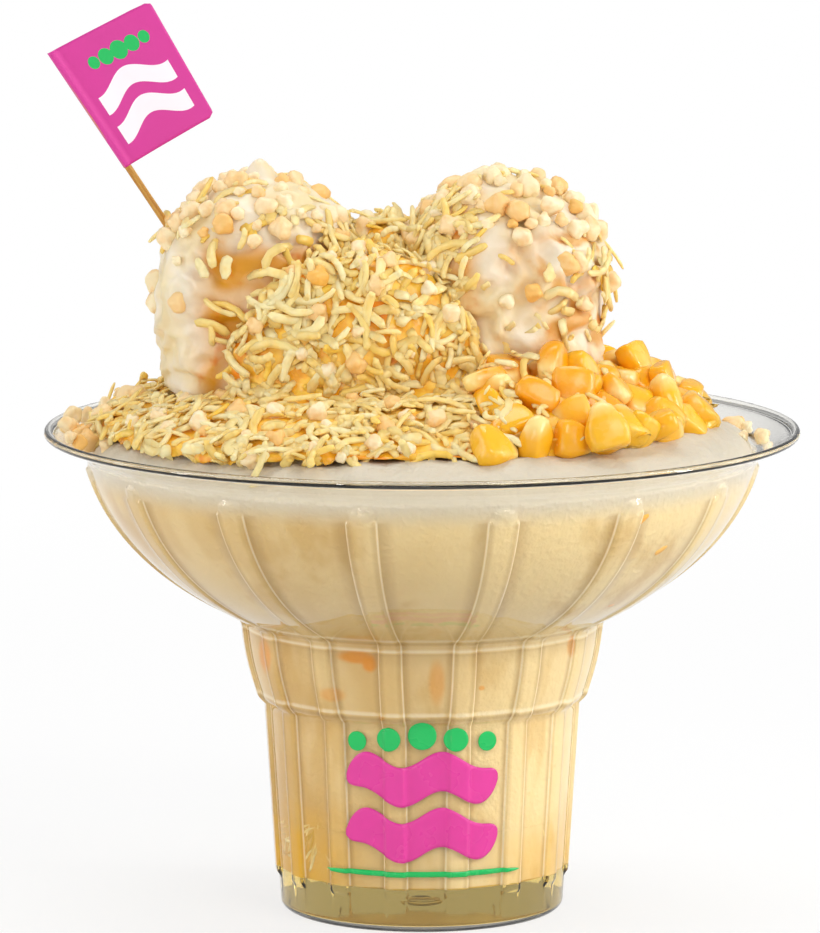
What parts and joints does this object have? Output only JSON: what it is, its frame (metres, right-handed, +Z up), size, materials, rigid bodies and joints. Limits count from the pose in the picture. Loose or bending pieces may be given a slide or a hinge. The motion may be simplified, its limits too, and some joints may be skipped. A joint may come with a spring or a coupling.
{
  "type": "shaved ice dessert",
  "caption": "Shaved ice dessert in a clear ribbed plastic cup with a wide bowl, topped with two ice cream scoops, grated cheese, sweetcorn and a paper flag on a pick.",
  "frame": {"origin": "middle of the cup's underside, on the surface it stands on", "axes": "+Z up along the cup's axis, -Y towards the front that shows the flag and the print, +X to the right seen from the front"},
  "size_m": [0.1598, 0.16, 0.1926],
  "materials": {
    "clear_plastic": "clear injection-moulded plastic, glossy, with a magenta and green print on the front",
    "jelly": "moist yellow fruit and jelly with pale strands",
    "milky_ice": "shaved ice soaked in sweet milk, white at the top and tan lower down",
    "ice_cream": "soft vanilla ice cream, slightly melted",
    "cheese": "grated pale yellow cheese with toasted cream and tan crumbs",
    "sweetcorn": "wet golden kernels with pale tips",
    "bamboo": "split bamboo, matt",
    "flag_paper": "magenta printed paper folded round the pick"
  },
  "bodies": {
    "root": {"cup": "clear_plastic", "jelly_layer": "jelly", "shaved_ice": "milky_ice", "scoop_left": "ice_cream", "scoop_right": "ice_cream", "cheese_heap": "cheese", "corn_heap": "sweetcorn", "pick": "bamboo", "flag": "flag_paper"}
  },
  "joints": []
}
